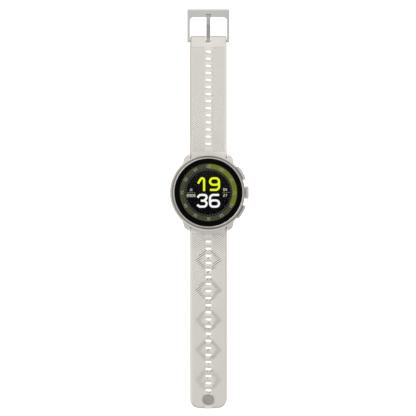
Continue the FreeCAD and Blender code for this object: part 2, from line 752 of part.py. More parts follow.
def strap_root():
    half_gap = bend_gap / 2
    strap = strap_length(bar_y, bend_lines[0] - half_gap, strap_width)
    strap = strap.fuse(rod_x(strap_eye_r, -strap_width / 2, strap_width / 2, bar_y, bar_z))
    strap = cut_holes_in(strap, bar_y, bend_lines[0], first_cut_holes, None)
    strap = strap.cut(rod_x(bar_r, -strap_width, strap_width, bar_y, bar_z))
    slot = block(release_x - release_knob_r - release_travel - release_slot_gap,
                 release_x + release_knob_r + release_slot_gap,
                 bar_y - release_knob_r - release_slot_gap, bar_y + release_knob_r + release_slot_gap,
                 bar_z - 3, bar_z)
    return strap.cut(slot).removeSplitter()


def spring_bar():
    end = strap_width / 2
    bar = rod_x(bar_r, -bar_half_length, bar_half_length, bar_y, bar_z)
    bar = bar.fuse(rod_x(bar_tip_r, -end - lug_gap - bar_tip_reach, -bar_half_length, bar_y, bar_z))
    bar = bar.cut(rod_x(bar_bore_r, bar_bore_start, end, bar_y, bar_z))
    slot = block(release_x - release_knob_r - release_travel - release_slot_gap,
                 release_x + release_knob_r + release_slot_gap,
                 bar_y - release_knob_r - release_slot_gap / 2, bar_y + release_knob_r + release_slot_gap / 2,
                 bar_z - 3, bar_z)
    return bar.cut(slot).removeSplitter()


def release_lever():
    end = strap_width / 2 + lug_gap + bar_tip_reach
    tip = rod_x(bar_tip_r, release_start, end, bar_y, bar_z)
    knob = Part.makeCylinder(release_knob_r, release_knob_reach, V(release_x, bar_y, bar_z), -Z_AXIS)
    return tip.fuse(knob).removeSplitter()


def bar_spring():
    length = release_start - bar_bore_start
    spring = coil(bar_coil_r, bar_coil_wire_r, length, bar_coil_turns)
    spring.Placement = FreeCAD.Placement(V(bar_bore_start, bar_y, bar_z),
                                         FreeCAD.Rotation(Z_AXIS, X_AXIS))
    return spring


def strap_end_short(strap):
    half = short_end_width / 2
    rounding = block(-half, half, bend_lines[2], short_end, -1, 6)
    edges = [e for e in rounding.Edges if abs(e.Vertexes[0].Z - e.Vertexes[-1].Z) > 1
             and e.Vertexes[0].Y > short_end - 0.1]
    rounding = rounding.makeFillet(short_end_corner, edges)
    strap = strap.common(rounding)
    slot_r = strap_slot_width / 2
    slot = block(-slot_r, slot_r, strap_slot_end, short_end + 1, -1, 6)
    inner_edges = [e for e in slot.Edges if abs(e.Vertexes[0].Z - e.Vertexes[-1].Z) > 1
                   and e.Vertexes[0].Y < strap_slot_end + 0.1]
    strap = strap.cut(slot.makeFillet(strap_slot_round, inner_edges))
    return strap.cut(rod_x(pin_r + running_gap, -strap_width, strap_width, pin_y, pin_z))


def strap_tail(strap):
    half = strap_width / 2
    crown_r_end = (half * half + tail_crown * tail_crown) / (2 * tail_crown)
    rounding = block(-half, half, bend_lines[4] - 5, long_end, -1, 9)
    edges = [e for e in rounding.Edges if abs(e.Vertexes[0].Z - e.Vertexes[-1].Z) > 1
             and e.Vertexes[0].Y > long_end - 0.1]
    rounding = rounding.makeFillet(tail_corner_r, edges)
    rounding = rounding.common(cylinder(crown_r_end, -1, 9, 0, long_end - crown_r_end))
    strap = strap.common(rounding)
    return strap.cut(seat_stud(cylinder(stud_post_r + running_gap, -2 * strap_thickness, strap_thickness)))


def make_straps():
    half_gap = bend_gap / 2
    root = strap_root()
    save("short_strap_1", root)
    save("long_strap_1", turn_z(root, 180))
    save("upper_spring_bar", spring_bar())
    save("lower_spring_bar", turn_z(spring_bar(), 180))
    save("upper_bar_release", release_lever())
    save("lower_bar_release", turn_z(release_lever(), 180))
    save("upper_bar_coil", bar_spring())
    save("lower_bar_coil", turn_z(bar_spring(), 180))
    short_cuts = bend_lines[:3] + [short_end + half_gap]
    for k in range(3):
        y0 = short_cuts[k] + half_gap
        y1 = short_cuts[k + 1] - half_gap
        strap = strap_length(y0, y1, strap_width)
        strap = cut_holes_in(strap, y0, y1, short_holes, None)
        if k == 2:
            strap = strap_end_short(strap)
        save("short_strap_%d" % (k + 2), strap)
    long_cuts = bend_lines + [long_end + half_gap]
    tail_start = bend_lines[4]
    for k in range(5):
        y0 = long_cuts[k] + half_gap
        y1 = long_cuts[k + 1] - half_gap
        strap = strap_length(y0, y1, strap_width, tail_start)
        strap = cut_holes_in(strap, y0, y1, long_holes, tail_start)
        if k == 4:
            strap = strap_tail(strap)
        save("long_strap_%d" % (k + 2), turn_z(strap, 180))


def seat_stud(shape):
    """Move a shape drawn on the Z axis, with its seat at height 0, onto the sloping tail."""
    placed = shape.copy()
    placed.rotate(V(0, 0, 0), X_AXIS, math.degrees(math.atan(tail_lift / (stud_y - bend_lines[4]))))
    placed.translate(V(0, stud_y, upper_side(stud_y, bend_lines[4]) + fit_gap / 10))
    return placed


def make_stud():
    disc = turned([(0, 0), (stud_disc_r - stud_under_bevel, 0), (stud_disc_r, stud_under_bevel),
                   (stud_disc_r, stud_disc_height - stud_rim_bevel),
                   (stud_disc_r - stud_rim_bevel, stud_disc_height), (stud_dish_r, stud_disc_height),
                   (stud_dish_r - stud_dish_depth, stud_disc_height - stud_dish_depth),
                   (0, stud_disc_height - stud_dish_depth)])
    head_top = -strap_thickness - stud_head_gap
    post = cylinder(stud_post_r, head_top - stud_joint, stud_post_top)
    head = slot_prism(stud_head_length, stud_head_width, 0, 0, head_top - stud_head_height, head_top)
    stud = disc.fuse(post).fuse(head)
    save("strap_stud", turn_z(seat_stud(stud.removeSplitter()), 180))


# Buckle
def make_buckle():
    half = buckle_half_width
    bottom = buckle_bottom
    top = buckle_bottom + buckle_thickness
    inner = half - buckle_arm_width
    plan = block(-half, half, pin_y, buckle_top_y, bottom, top)
    ends = [e for e in plan.Edges if abs(e.Vertexes[0].Z - e.Vertexes[-1].Z) > 1
            and e.Vertexes[0].Y > buckle_top_y - 0.1]
    side = [V(-half, pin_y, bottom), V(-half, buckle_top_y, bottom),
            V(-half, buckle_top_y, top - buckle_chamfer), V(-half, buckle_top_y - buckle_chamfer, top),
            V(-half, pin_y, top)]
    bevelled = Part.Face(Part.makePolygon(side + side[:1])).extrude(V(2 * half, 0, 0))
    outline = plan.makeFillet(buckle_corner, ends).common(bevelled)
    arm_ends = rod_x(arm_end_r, -half, half, pin_y, bottom + arm_end_r)
    frame = outline.fuse(arm_ends)
    window = block(-inner, inner, pin_y - 5, buckle_bar_y, bottom - 1, top + 1)
    rounds = [e for e in window.Edges if abs(e.Vertexes[0].Z - e.Vertexes[-1].Z) > 1
              and e.Vertexes[0].Y > buckle_bar_y - 0.1]
    frame = frame.cut(window.makeFillet(buckle_inner_round, rounds))
    notch = block(-notch_width / 2, notch_width / 2, buckle_bar_y - 1, buckle_bar_y + notch_depth,
                  notch_floor, top + 1)
    frame = frame.cut(notch)
    frame = frame.cut(rod_x(pin_r, -half + pin_cover, half - pin_cover, pin_y, pin_z)).removeSplitter()
    save("buckle_frame", frame)
    save("buckle_pin", rod_x(pin_r, -half + pin_cover, half - pin_cover, pin_y, pin_z))
    hw = tongue_width / 2
    eye = rod_x(tongue_ring_r, -hw, hw, pin_y, pin_z)
    low = pin_z + tongue_ring_r - tongue_thickness
    tip = pin_y + tongue_reach
    points = [V(-hw, pin_y, pin_z + tongue_ring_r), V(-hw, pin_y, low), V(-hw, pin_y + 4, low),
              V(-hw, tip - 3, notch_floor + 0.05), V(-hw, tip, notch_floor + 0.05),
              V(-hw, tip, notch_floor + 0.4), V(-hw, tip - 0.4, notch_floor + tongue_thickness + 0.05),
              V(-hw, tip - 3, notch_floor + tongue_thickness + 0.25)]
    blade = Part.Face(Part.makePolygon(points + points[:1])).extrude(V(tongue_width, 0, 0))
    tongue = eye.fuse(blade).cut(rod_x(pin_r + running_gap, -hw - 1, hw + 1, pin_y, pin_z))
    save("buckle_tongue", tongue.removeSplitter())


save("case_body", make_case())
make_front()
make_electronics()
make_motor()
make_back()
make_sensor()
make_pushers(make_crown())
make_straps()
make_stud()
make_buckle()
print("bend lines at", [round(y, 2) for y in bend_lines])
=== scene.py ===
import bpy
import bmesh
import math
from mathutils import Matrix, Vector
from mathutils.geometry import tessellate_polygon


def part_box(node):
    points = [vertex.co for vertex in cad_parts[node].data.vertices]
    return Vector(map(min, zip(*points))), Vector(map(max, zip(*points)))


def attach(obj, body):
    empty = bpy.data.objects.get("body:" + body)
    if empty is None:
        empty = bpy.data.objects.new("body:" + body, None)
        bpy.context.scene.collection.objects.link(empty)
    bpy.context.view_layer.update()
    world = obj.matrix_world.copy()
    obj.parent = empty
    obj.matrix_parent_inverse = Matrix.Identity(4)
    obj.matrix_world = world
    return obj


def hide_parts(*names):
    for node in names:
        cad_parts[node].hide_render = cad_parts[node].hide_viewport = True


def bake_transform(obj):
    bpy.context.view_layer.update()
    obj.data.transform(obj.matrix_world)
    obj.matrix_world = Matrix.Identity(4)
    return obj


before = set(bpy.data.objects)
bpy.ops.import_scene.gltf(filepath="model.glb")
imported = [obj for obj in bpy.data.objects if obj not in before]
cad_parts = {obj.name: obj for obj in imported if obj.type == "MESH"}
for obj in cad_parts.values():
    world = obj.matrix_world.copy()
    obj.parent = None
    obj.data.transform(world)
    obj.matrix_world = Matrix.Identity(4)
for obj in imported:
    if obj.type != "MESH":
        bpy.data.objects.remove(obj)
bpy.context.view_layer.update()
print("frame loaded:", len(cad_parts), "nodes")

mm = 0.001
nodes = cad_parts


def linkedObject(name, data):
    piece = bpy.data.objects.new(name, data)
    bpy.context.scene.collection.objects.link(piece)
    return piece


def meshObject(name, points, faces, material):
    # points in millimetres
    mesh = bpy.data.meshes.new(name)
    mesh.from_pydata([(x * mm, y * mm, z * mm) for x, y, z in points], [], faces)
    mesh.materials.append(material)
    tidyMesh(mesh, 35.0)
    return linkedObject(name, mesh)


def tidyMesh(mesh, sharpAngle):
    # doubles merged, faces turned outwards, edges past sharpAngle kept sharp
    shell = bmesh.new()
    shell.from_mesh(mesh)
    bmesh.ops.remove_doubles(shell, verts=shell.verts, dist=0.002 * mm)
    bmesh.ops.recalc_face_normals(shell, faces=shell.faces)
    shell.to_mesh(mesh)
    shell.free()
    mesh.polygons.foreach_set("use_smooth", [True] * len(mesh.polygons))
    mesh.set_sharp_from_angle(angle=math.radians(sharpAngle))
    mesh.update()


def joinPieces(name, pieces):
    # one mesh from several, materials kept
    materials = []
    merged = bmesh.new()
    for piece in pieces:
        slots = []
        for material in piece.data.materials:
            if material not in materials:
                materials.append(material)
            slots.append(materials.index(material))
        part = piece.data.copy()
        for polygon in part.polygons:
            polygon.material_index = slots[polygon.material_index]
        merged.from_mesh(part)
        bpy.data.meshes.remove(part)
    mesh = bpy.data.meshes.new(name)
    merged.to_mesh(mesh)
    merged.free()
    for material in materials:
        mesh.materials.append(material)
    for piece in pieces:
        old = piece.data
        bpy.data.objects.remove(piece)
        bpy.data.meshes.remove(old)
    return linkedObject(name, mesh)


class Signal:
    # a node socket that takes part in ordinary sums
    def __init__(self, tree, socket):
        self.tree = tree
        self.socket = socket

    def solve(self, operation, *values):
        step = self.tree.nodes.new("ShaderNodeMath")
        step.operation = operation
        for place, value in enumerate(values):
            feed(self.tree, step.inputs[place], value)
        return Signal(self.tree, step.outputs[0])

    def math(self, operation, *others):
        return self.solve(operation, self, *others)

    def __add__(self, other):
        return self.math("ADD", other)

    def __radd__(self, other):
        return self.math("ADD", other)

    def __sub__(self, other):
        return self.math("SUBTRACT", other)

    def __rsub__(self, other):
        return self.solve("SUBTRACT", other, self)

    def __mul__(self, other):
        return self.math("MULTIPLY", other)

    def __rmul__(self, other):
        return self.math("MULTIPLY", other)

    def __truediv__(self, other):
        return self.math("DIVIDE", other)

    def __rtruediv__(self, other):
        return self.solve("DIVIDE", other, self)

    def __neg__(self):
        return self.math("MULTIPLY", -1.0)

    def size(self):
        return self.math("ABSOLUTE")

    def clamp(self):
        return self.math("MAXIMUM", 0.0).math("MINIMUM", 1.0)

    def past(self, edge, softness):
        # 0 up to the edge, then rising to 1 over the softness, both in millimetres
        return ((self - edge * mm) * (1 / (softness * mm))).clamp()

    def before(self, edge, softness):
        return ((edge * mm - self) * (1 / (softness * mm))).clamp()


def feed(tree, socket, value):
    if isinstance(value, Signal):
        tree.links.new(value.socket, socket)
    elif isinstance(value, (tuple, list)) and len(value) == 3 and len(socket.default_value) == 4:
        socket.default_value = (*value, 1.0)
    else:
        socket.default_value = value


class Finish:
    # one material: its tree, its principled shader and its object coordinates
    def __init__(self, name, **sockets):
        self.material = bpy.data.materials.new(name)
        self.material.use_nodes = True
        self.tree = self.material.node_tree
        self.shader = next(n for n in self.tree.nodes if n.type == "BSDF_PRINCIPLED")
        self.output = next(n for n in self.tree.nodes if n.type == "OUTPUT_MATERIAL")
        self.place = self.node("ShaderNodeTexCoord", out="Object")
        self.set(**sockets)

    def set(self, **sockets):
        for label, value in sockets.items():
            feed(self.tree, self.shader.inputs[socketNames[label]], value)

    def node(self, kind, settings=None, sockets=None, out=0):
        # any node: its settings first, then values or signals for its sockets
        made = self.tree.nodes.new(kind)
        for key, value in (settings or {}).items():
            setattr(made, key, value)
        for key, value in (sockets or {}).items():
            feed(self.tree, made.inputs[key], value)
        return Signal(self.tree, made.outputs[out])

    def xyz(self):
        apart = self.node("ShaderNodeSeparateXYZ", sockets={"Vector": self.place}).socket.node
        return [Signal(self.tree, apart.outputs[k]) for k in range(3)]

    def radius(self):
        x, y, z = self.xyz()
        return (x * x + y * y).math("SQRT")

    def stretched(self, scale):
        return self.node("ShaderNodeMapping", sockets={"Vector": self.place, "Scale": scale})

    def noise(self, scale, detail=3.0, roughness=0.5, at=None):
        return self.node("ShaderNodeTexNoise", sockets={"Vector": at or self.place, "Scale": scale,
                                                        "Detail": detail, "Roughness": roughness})

    def mix(self, factor, low, high):
        # sockets 6 and 7 and result 2 of a Mix node are its colours
        return self.node("ShaderNodeMix", {"data_type": "RGBA"}, {0: factor, 6: low, 7: high}, 2)

    def bump(self, height, strength, distance):
        self.set(normal=self.node("ShaderNodeBump", sockets={"Height": height, "Strength": strength,
                                                             "Distance": distance * mm}))


socketNames = {"colour": "Base Color", "roughness": "Roughness", "metallic": "Metallic", "normal": "Normal",
               "ior": "IOR", "glow": "Emission Color", "glowStrength": "Emission Strength",
               "clear": "Transmission Weight", "specular": "Specular IOR Level", "sheen": "Sheen Weight"}


def tone(red, green, blue):
    # screen colour, 0 to 255, to the linear colour that shaders use
    return tuple(c / 12.92 if c <= 0.04045 else ((c + 0.055) / 1.055) ** 2.4
                 for c in (red / 255, green / 255, blue / 255))


def scaled(colour, factor):
    return tuple(c * factor for c in colour)


# where the moulded strap is darkened to paint shade: the bed under the ribs, one rounded edge and the buckle
# end
siliconeShadeZones = {"shadeFactors": (0.6, 0.565, 0.51), "bedInner": 2.05, "bedOuter": 9.6, "bedFrom": 23.5,
                 "bedTo": 84.6, "bedLevel": 2.25, "halfWidth": 10.8, "edgeShare": 0.86, "lipFrom": 90.6,
                 "lipShade": 0.7}


def makeSilicone(name, colour, edgeShade, ribBedShade=1.0):
    zone = siliconeShadeZones
    shadeTone = tuple(c * w for c, w in zip(colour, zone["shadeFactors"]))
    finish = Finish(name, specular=0.35, sheen=0.15)
    x, y, z = finish.xyz()
    cloud = finish.noise(90, 3)
    grain = finish.noise(2600, 2)
    speck = finish.noise(9000, 1)
    base = finish.mix(((cloud - 0.35) * 1.6).clamp(), scaled(colour, 0.965), scaled(colour, 1.02))
    base = finish.mix(((grain - 0.5) * 0.8).clamp(), base, scaled(colour, 0.9))
    # painted shade: the top of the strap between and under the ribs is darkened, standing in for the shade
    # between the ribs
    bed = x.size().past(zone["bedInner"], 1 / 6) * x.size().before(zone["bedOuter"], 1 / 3)
    bed = bed * y.size().past(zone["bedFrom"], 0.5) * (1.0 - y.past(zone["bedTo"], 0.5))
    bed = bed * z.past(zone["bedLevel"], 0.05)
    base = finish.mix(bed, base, scaled(colour, ribBedShade))
    # painted shade: a warm darker band along one rounded edge, the right edge of the long strap and the left
    # edge of the short one
    side = x * y.math("SIGN") / (zone["halfWidth"] * mm)
    base = finish.mix(((-side - zone["edgeShare"]) * 9.0).clamp() * edgeShade, base, shadeTone)
    # painted shade: the short strap darkens towards its buckle end, past lipFrom
    if edgeShade:
        base = finish.mix(y.past(zone["lipFrom"], 1 / 3) * zone["lipShade"], base, shadeTone)
    finish.set(colour=base, roughness=grain * 0.12 + 0.56)
    finish.bump(speck * 0.5 + grain, 0.25, 0.02)
    return finish.material


def makePolymer(name, colour, roughness):
    finish = Finish(name, specular=0.4)
    cloud = finish.noise(140, 3)
    fleck = finish.noise(5200, 2, 0.6)
    grain = finish.noise(11000, 1)
    base = finish.mix(cloud, scaled(colour, 0.96), scaled(colour, 1.04))
    base = finish.mix(((fleck - 0.62) * 6.0).clamp() * 0.12, base, scaled(colour, 0.5))
    finish.set(colour=base, roughness=roughness + fleck * 0.12)
    finish.bump(grain, 0.3, 0.015)
    return finish.material


def makeTurnedSteel(name, colour, darkReflectionColour, edgeRadius, roughness):
    # brushed round the axis; outside edgeRadius the steel is darker, a painted dark reflection on the bezel's
    # slope
    finish = Finish(name, metallic=1.0)
    x, y, z = finish.xyz()
    radius = finish.radius()
    along = finish.node("ShaderNodeCombineXYZ", None,
                        {"X": radius * 22000.0, "Y": y.math("ARCTAN2", x) * 6.0, "Z": z * 22000.0})
    lines = finish.noise(1.0, 3, 0.7, along)
    wear = finish.noise(400, 3)
    base = finish.mix(radius.past(edgeRadius, 0.125), colour, darkReflectionColour)
    base = finish.mix(lines * 0.22, base, scaled(colour, 0.55))
    finish.set(colour=base, roughness=roughness + lines * 0.12 + wear * 0.06)
    finish.bump(lines, 0.12, 0.01)
    return finish.material


def makeBrushedSteel(name, colour, roughness):
    # fine lines along X
    finish = Finish(name, metallic=1.0)
    lines = finish.noise(260, 4, 0.75, finish.stretched((1, 60, 60)))
    smudge = finish.noise(220, 3)
    base = finish.mix(lines, scaled(colour, 0.82), scaled(colour, 1.108))
    finish.set(colour=base, roughness=roughness + lines * 0.14 + smudge * 0.05)
    finish.bump(lines, 0.15, 0.012)
    return finish.material


def makeTongueSteel(name, colour, roughness, start, end):
    # fine lines along Y, and a deeper tone between start and end
    finish = Finish(name, metallic=1.0)
    x, y, z = finish.xyz()
    lines = finish.noise(260, 4, 0.75, finish.stretched((60, 1, 60)))
    deep = y.past(start, 2 / 3) * y.before(end, 1 / 3)
    base = finish.mix(deep * 0.42, colour, scaled(colour, 0.42))
    base = finish.mix(lines * 0.3, base, scaled(colour, 0.7))
    finish.set(colour=base, roughness=roughness + lines * 0.12)
    finish.bump(lines, 0.12, 0.01)
    return finish.material


def makeGlass(name, tint, ior):
    finish = Finish(name, colour=tint, clear=1.0, ior=ior)
    smear = finish.noise(120, 3)
    finish.set(roughness=smear * 0.02)
    return finish.material


def makeCoverGlass(name, borderRadius):
    # clear coated glass with a black border printed under its edge
    finish = Finish(name, colour=(0.0008, 0.0008, 0.0008), specular=0.05)
    smear = finish.noise(160, 3)
    finish.set(roughness=smear * 0.1 + 0.12)
    see = finish.node("ShaderNodeBsdfTransparent")
    shine = finish.node("ShaderNodeBsdfGlossy", None, {"Roughness": smear * 0.1 + 0.06})
    clear = finish.node("ShaderNodeMixShader", None, {0: smear * 0.002 + 0.0005, 1: see, 2: shine})
    printed = Signal(finish.tree, finish.shader.outputs[0])
    whole = finish.node("ShaderNodeMixShader", None,
                        {0: finish.radius().past(borderRadius, 0.05), 1: clear, 2: printed})
    feed(finish.tree, finish.output.inputs["Surface"], whole)
    return finish.material


def makeScreen(name, low, high, half):
    # the dark panel with a painted glow, a little lighter towards 12 o'clock
    finish = Finish(name, colour=(0.0008, 0.0008, 0.0008), glowStrength=1.0, specular=0.02)
    x, y, z = finish.xyz()
    rise = (y / (2 * half * mm) + 0.5).clamp()
    fine = finish.noise(9000, 1)
    finish.set(glow=finish.mix(rise * rise, low, high), roughness=0.2 + fine * 0.1)
    return finish.material


def makeLit(name, colour, ringCentre=None):
    finish = Finish(name, colour=(0, 0, 0), roughness=0.6, glowStrength=1.0, specular=0.0)
    fine = finish.noise(4000, 1)
    glow = finish.mix(fine * 0.25, colour, scaled(colour, 0.8))
    if ringCentre:
        # a darker line runs round the middle of the ring
        line = 1.0 - (finish.radius() - ringCentre * mm).size().past(0.0, 1 / 7)
        glow = finish.mix(line * 0.3, glow, scaled(colour, 0.45))
    finish.set(glow=glow)
    return finish.material


def makePlain(name, colour, roughness, metallic=0.0, grainScale=2500, depth=0.2):
    finish = Finish(name, metallic=metallic)
    grain = finish.noise(grainScale, 3)
    cloud = finish.noise(300, 2)
    finish.set(colour=finish.mix(cloud, scaled(colour, 0.9), scaled(colour, 1.08)),
               roughness=roughness + grain * 0.15)
    finish.bump(grain, depth, 0.02)
    return finish.material


strapTone = tone(216, 212, 206)
# the rib and bed materials paint shade on one rounded edge and at the buckle end; the bed material also
# paints shade between the ribs
silicone = makeSilicone("strap silicone", strapTone, 0.55)
siliconeBedShaded = makeSilicone("strap silicone with painted rib-bed shade", strapTone, 0.8, 0.7)
# a dark tone for strips between the ribs, painted as the shade of deeper grooves
siliconeGrooveShade = makeSilicone("strap silicone painted groove shade", tone(142, 132, 120), 0.0)
casePolymer = makePolymer("case polymer", tone(204, 201, 196), 0.5)
crownPolymer = makePolymer("crown polymer", tone(196, 192, 185), 0.42)
backPolymer = makePolymer("back polymer", tone(196, 192, 186), 0.55)
# the bezel's slope past 20.4 mm is painted darker as a dark reflection
bezelSteel = makeTurnedSteel("bezel steel", tone(212, 210, 203), tone(122, 119, 112), 20.4, 0.3)
studSteel = makePlain("stud steel", tone(165, 163, 160), 0.4, 1.0, 5200, 0.3)
buckleSteel = makeBrushedSteel("buckle steel", tone(212, 211, 208), 0.3)
tongueSteel = makeTongueSteel("tongue steel", tone(206, 205, 202), 0.22, 89.8, 98.2)
pinSteel = makeBrushedSteel("pin steel", tone(150, 149, 146), 0.3)
machinedSteel = makeBrushedSteel("machined steel", tone(160, 160, 158), 0.3)
coverGlass = makeCoverGlass("cover glass", 17.35)
sensorGlass = makeGlass("sensor glass", (0.02, 0.02, 0.025), 1.45)
screenBlack = makeScreen("screen black", tone(4, 4, 4), tone(21, 21, 21), 14.0)
rubberBlack = makePlain("gasket rubber", (0.03, 0.03, 0.03), 0.7)
goldContact = makePlain("gold contact", (0.9, 0.62, 0.28), 0.25, 1.0, 6000, 0.1)
boardGreen = makePlain("circuit board", (0.02, 0.13, 0.06), 0.4)
chipBlack = makePlain("chip resin", (0.025, 0.025, 0.028), 0.45)
tinShield = makePlain("tin shield", (0.65, 0.65, 0.63), 0.35, 1.0)
cellFoil = makePlain("cell foil", (0.4, 0.42, 0.45), 0.4, 0.6)
flexAmber = makePlain("flex film", (0.45, 0.2, 0.04), 0.3)
alloyBracket = makePlain("alloy bracket", (0.6, 0.61, 0.63), 0.4, 1.0)
diodeDark = makePlain("diode filter", (0.04, 0.03, 0.05), 0.15)
ledLens = makePlain("light lens", (0.2, 0.55, 0.25), 0.1)
weightMetal = makePlain("sintered weight", (0.4, 0.38, 0.34), 0.5, 1.0)
print("finishes made")

nodeFinish = {
    "case_body": casePolymer, "upper_button": crownPolymer, "lower_button": crownPolymer,
    "crown_knob": crownPolymer, "bezel": bezelSteel, "cover_glass": coverGlass,
    "back_cover": backPolymer, "pressure_vent": chipBlack, "sensor_window": sensorGlass,
    "display_panel": screenBlack, "display_frame": alloyBracket, "flex_cables": flexAmber,
    "antenna_ring": goldContact, "charge_contacts": goldContact, "main_board": boardGreen,
    "sensor_board": boardGreen, "board_chips": chipBlack, "key_switches": chipBlack,
    "sensor_baffle": chipBlack, "shield_can": tinShield, "pressure_sensor": tinShield,
    "motor_can": tinShield, "battery": cellFoil, "motor_rotor": weightMetal,
    "sensor_leds": ledLens, "sensor_photodiodes": diodeDark, "strap_stud": studSteel,
    "buckle_frame": buckleSteel, "buckle_tongue": tongueSteel, "buckle_pin": pinSteel,
}
for rubberNode in ("glass_gasket", "back_seal", "crown_seals", "upper_button_seal", "lower_button_seal"):
    nodeFinish[rubberNode] = rubberBlack
for name, part in nodes.items():
    # springs, screws, bars, clips and the rest are machined steel
    part.data.materials.clear()
    part.data.materials.append(nodeFinish.get(name, machinedSteel))
print("finishes given to", len(nodes), "nodes")

# hard parts get a fine worn edge, in millimetres
edgeWidths = {"case_body": 0.16, "buckle_frame": 0.22, "buckle_tongue": 0.16, "upper_button": 0.14,
              "lower_button": 0.14, "crown_knob": 0.1, "strap_stud": 0.08, "bezel": 0.06, "back_cover": 0.1}
for name, width in edgeWidths.items():
    weld = nodes[name].modifiers.new("close seams", "WELD")
    weld.merge_threshold = 0.0005 * mm
    bevel = nodes[name].modifiers.new("worn edge", "BEVEL")
    bevel.width = width * mm
    bevel.segments = 2
    bevel.limit_method = "ANGLE"
    bevel.angle_limit = math.radians(38)
print("worn edges on", len(edgeWidths), "nodes")


def buildPathTree():
    # bars of any section along polylines
    tree = bpy.data.node_groups.new("bars along paths", "GeometryNodeTree")
    face = tree.interface
    face.new_socket("Geometry", in_out="INPUT", socket_type="NodeSocketGeometry")
    face.new_socket("Width", in_out="INPUT", socket_type="NodeSocketFloat")
    face.new_socket("Height", in_out="INPUT", socket_type="NodeSocketFloat")
    face.new_socket("Sides", in_out="INPUT", socket_type="NodeSocketInt")
    face.new_socket("Flat", in_out="INPUT", socket_type="NodeSocketBool")
    face.new_socket("Corner Radius", in_out="INPUT", socket_type="NodeSocketFloat")
    face.new_socket("Finish", in_out="INPUT", socket_type="NodeSocketMaterial")
    face.new_socket("Geometry", in_out="OUTPUT", socket_type="NodeSocketGeometry")
    add = tree.nodes.new
    link = tree.links.new
    given = add("NodeGroupInput")
    path = add("GeometryNodeMeshToCurve")
    upright = add("GeometryNodeSetCurveNormal")
    upright.mode = "Z_UP"
    fillet = add("GeometryNodeFilletCurve")
    fillet.mode = "POLY"
    fillet.inputs["Count"].default_value = 7
    fillet.inputs["Limit Radius"].default_value = True
    section = add("GeometryNodeCurvePrimitiveCircle")
    section.inputs["Radius"].default_value = 0.5
    plank = add("GeometryNodeCurvePrimitiveQuadrilateral")
    plank.inputs["Width"].default_value = 1.0
    plank.inputs["Height"].default_value = 1.0
    choice = add("GeometryNodeSwitch")
    choice.input_type = "GEOMETRY"
    shape = add("ShaderNodeCombineXYZ")
    squeeze = add("GeometryNodeTransform")
    sweep = add("GeometryNodeCurveToMesh")
    sweep.inputs["Fill Caps"].default_value = True
    realize = add("GeometryNodeRealizeInstances")
    paint = add("GeometryNodeSetMaterial")
    result = add("NodeGroupOutput")
    link(given.outputs["Geometry"], path.inputs["Mesh"])
    link(path.outputs[0], fillet.inputs["Curve"])
    link(given.outputs["Corner Radius"], fillet.inputs["Radius"])
    link(fillet.outputs[0], upright.inputs["Curve"])
    link(given.outputs["Sides"], section.inputs["Resolution"])
    link(given.outputs["Width"], shape.inputs["X"])
    link(given.outputs["Height"], shape.inputs["Y"])
    link(given.outputs["Flat"], choice.inputs["Switch"])
    link(section.outputs[0], choice.inputs["False"])
    link(plank.outputs[0], choice.inputs["True"])
    shape.inputs["Z"].default_value = 1.0
    link(choice.outputs[0], squeeze.inputs["Geometry"])
    link(shape.outputs[0], squeeze.inputs["Scale"])
    link(upright.outputs[0], sweep.inputs["Curve"])
    link(squeeze.outputs[0], sweep.inputs["Profile Curve"])
    link(sweep.outputs[0], realize.inputs[0])
    link(realize.outputs[0], paint.inputs["Geometry"])
    link(given.outputs["Finish"], paint.inputs["Material"])
    link(paint.outputs[0], result.inputs[0])
    return tree


pathTree = buildPathTree()


def placed(paths, change):
    # the same paths with every point changed; a closed one stays closed
    moved = []
    for path in paths:
        closed = path[0] == "loop"
        line = [change(*point) for point in (path[1] if closed else path)]
        moved.append(("loop", line) if closed else line)
    return moved


def barsAlong(name, paths, width, height, sides, corner, finish, sharpAngle=40.0):
    # each path is a list of points in millimetres, or ("loop", list)
    points = []
    edges = []
    for path in paths:
        closed = path[0] == "loop"
        line = path[1] if closed else path
        first = len(points)
        points += [(x * mm, y * mm, z * mm) for x, y, z in line]
        edges += [(first + k, first + k + 1) for k in range(len(line) - 1)]
        if closed:
            edges.append((first + len(line) - 1, first))
    mesh = bpy.data.meshes.new(name + " paths")
    mesh.from_pydata(points, edges, [])
    guide = linkedObject(name, mesh)
    modifier = guide.modifiers.new("bars", "NODES")
    modifier.node_group = pathTree
    # four sides means a flat bar, more a rounded one
    values = {"Width": width * mm, "Height": height * mm, "Sides": sides, "Flat": sides == 4,
              "Corner Radius": corner * mm, "Finish": finish}
    for item in pathTree.interface.items_tree:
        if item.in_out == "INPUT" and item.name in values:
            modifier[item.identifier] = values[item.name]
    bpy.context.view_layer.update()
    solved = guide.evaluated_get(bpy.context.evaluated_depsgraph_get())
    made = bpy.data.meshes.new_from_object(solved)
    made.name = name
    bpy.data.objects.remove(guide)
    bpy.data.meshes.remove(mesh)
    tidyMesh(made, sharpAngle)
    return linkedObject(name, made)


